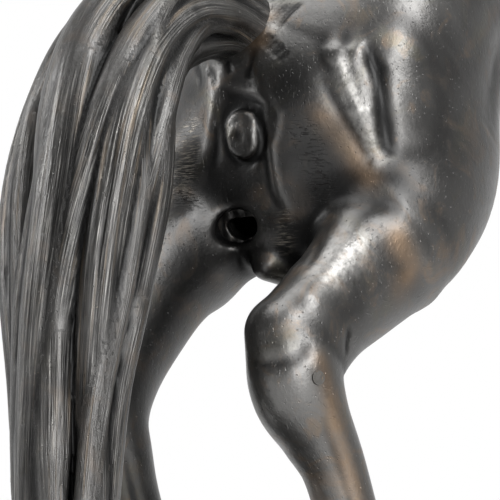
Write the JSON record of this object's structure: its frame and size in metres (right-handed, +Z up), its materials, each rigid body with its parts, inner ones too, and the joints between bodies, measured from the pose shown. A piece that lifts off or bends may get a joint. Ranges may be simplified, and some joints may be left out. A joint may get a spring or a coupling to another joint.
{
  "type": "horse statuette",
  "caption": "Rearing horse statuette in dark patinated bronze on a rounded stone plinth, with a long arched tail that reaches the base.",
  "frame": {"origin": "centre of the plinth's felt underside, on the surface that the statuette stands on", "axes": "+Z up, +X towards the horse's head, +Y to the horse's left"},
  "size_m": [0.3316, 0.112, 0.5032],
  "materials": {
    "bronze_body": "dark brown patina, satin, rubbed on the high parts",
    "bronze_neck": "dark brown patina, satin, rubbed on the high parts",
    "bronze_head": "dark brown patina, satin, rubbed on the high parts",
    "bronze_hair": "dark patina in the grooves, rubbed on the locks",
    "bronze_legs": "dark brown patina, rubbed to golden brown along the shins",
    "bronze_pins": "filed flush and patinated",
    "vent_ring": "rough dark patina",
    "stone": "dark marble, polished, with pale veins",
    "steel": "zinc plated",
    "nut_brass": "plain brass",
    "felt": "green baize"
  },
  "bodies": {
    "root": {"hindquarters_casting": "bronze_body", "forehand_casting": "bronze_body", "neck_casting": "bronze_neck", "head_casting": "bronze_head", "mane_casting": "bronze_hair", "tail_casting": "bronze_hair", "hind_leg_right": "bronze_legs", "hind_leg_left": "bronze_legs", "foreleg_right": "bronze_legs", "foreleg_left": "bronze_legs", "vent_collar": "vent_ring", "neck_joint_pins": "bronze_pins", "trunk_joint_pins": "bronze_pins", "leg_joint_pins": "bronze_pins", "tail_joint_pin": "bronze_pins", "mane_rivets": "bronze_pins", "core_pin_plugs": "bronze_pins", "plinth": "stone", "mounting_studs": "steel", "stud_washers": "steel", "stud_nuts": "nut_brass", "felt_pad": "felt"}
  },
  "joints": []
}
